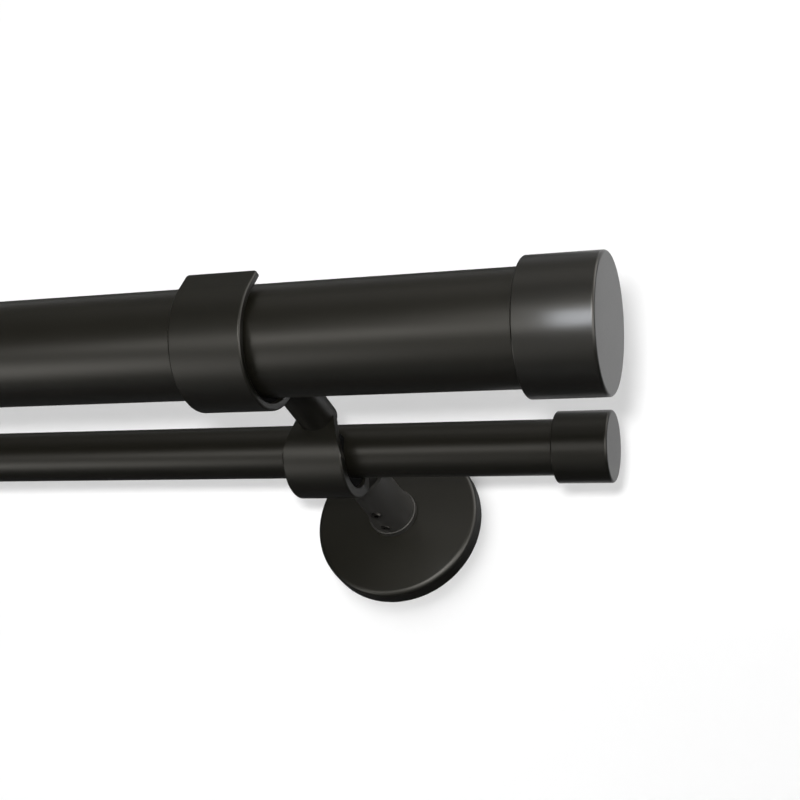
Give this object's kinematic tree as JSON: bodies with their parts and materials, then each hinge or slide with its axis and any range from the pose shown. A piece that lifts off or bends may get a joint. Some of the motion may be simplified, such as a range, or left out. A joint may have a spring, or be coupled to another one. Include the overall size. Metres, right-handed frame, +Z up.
{
  "type": "double curtain pole",
  "caption": "Wall-mounted double curtain pole with a wide front tube, a slim rear tube, plain sleeve end caps, open cradles on round arms and round wall rosettes.",
  "frame": {"origin": "on the wall, midway between the two brackets, at the height of the bracket arms", "axes": "+X along the poles to the right as seen from the room, +Y into the wall, +Z up"},
  "size_m": [1.206, 0.1765, 0.067],
  "materials": {
    "pole_black": "satin powder coat",
    "cap_black": "satin powder coat",
    "bracket_black": "satin powder coat",
    "rosette_black": "satin powder coat",
    "plate_steel": "zinc plated",
    "screw_steel": "blackened",
    "lining": "matt"
  },
  "bodies": {
    "root": {"front_tube": "pole_black", "rear_tube": "pole_black", "front_cap_right": "cap_black", "rear_cap_right": "cap_black", "bracket_right": "bracket_black", "front_lining_right": "lining", "rear_lining_right": "lining", "collar_right": "bracket_black", "rosette_right": "rosette_black", "wall_plate_right": "plate_steel", "arm_screw_right": "screw_steel", "plate_screw_right": "screw_steel", "front_cap_left": "cap_black", "rear_cap_left": "cap_black", "bracket_left": "bracket_black", "front_lining_left": "lining", "rear_lining_left": "lining", "collar_left": "bracket_black", "rosette_left": "rosette_black", "wall_plate_left": "plate_steel", "arm_screw_left": "screw_steel", "plate_screw_left": "screw_steel"}
  },
  "joints": []
}
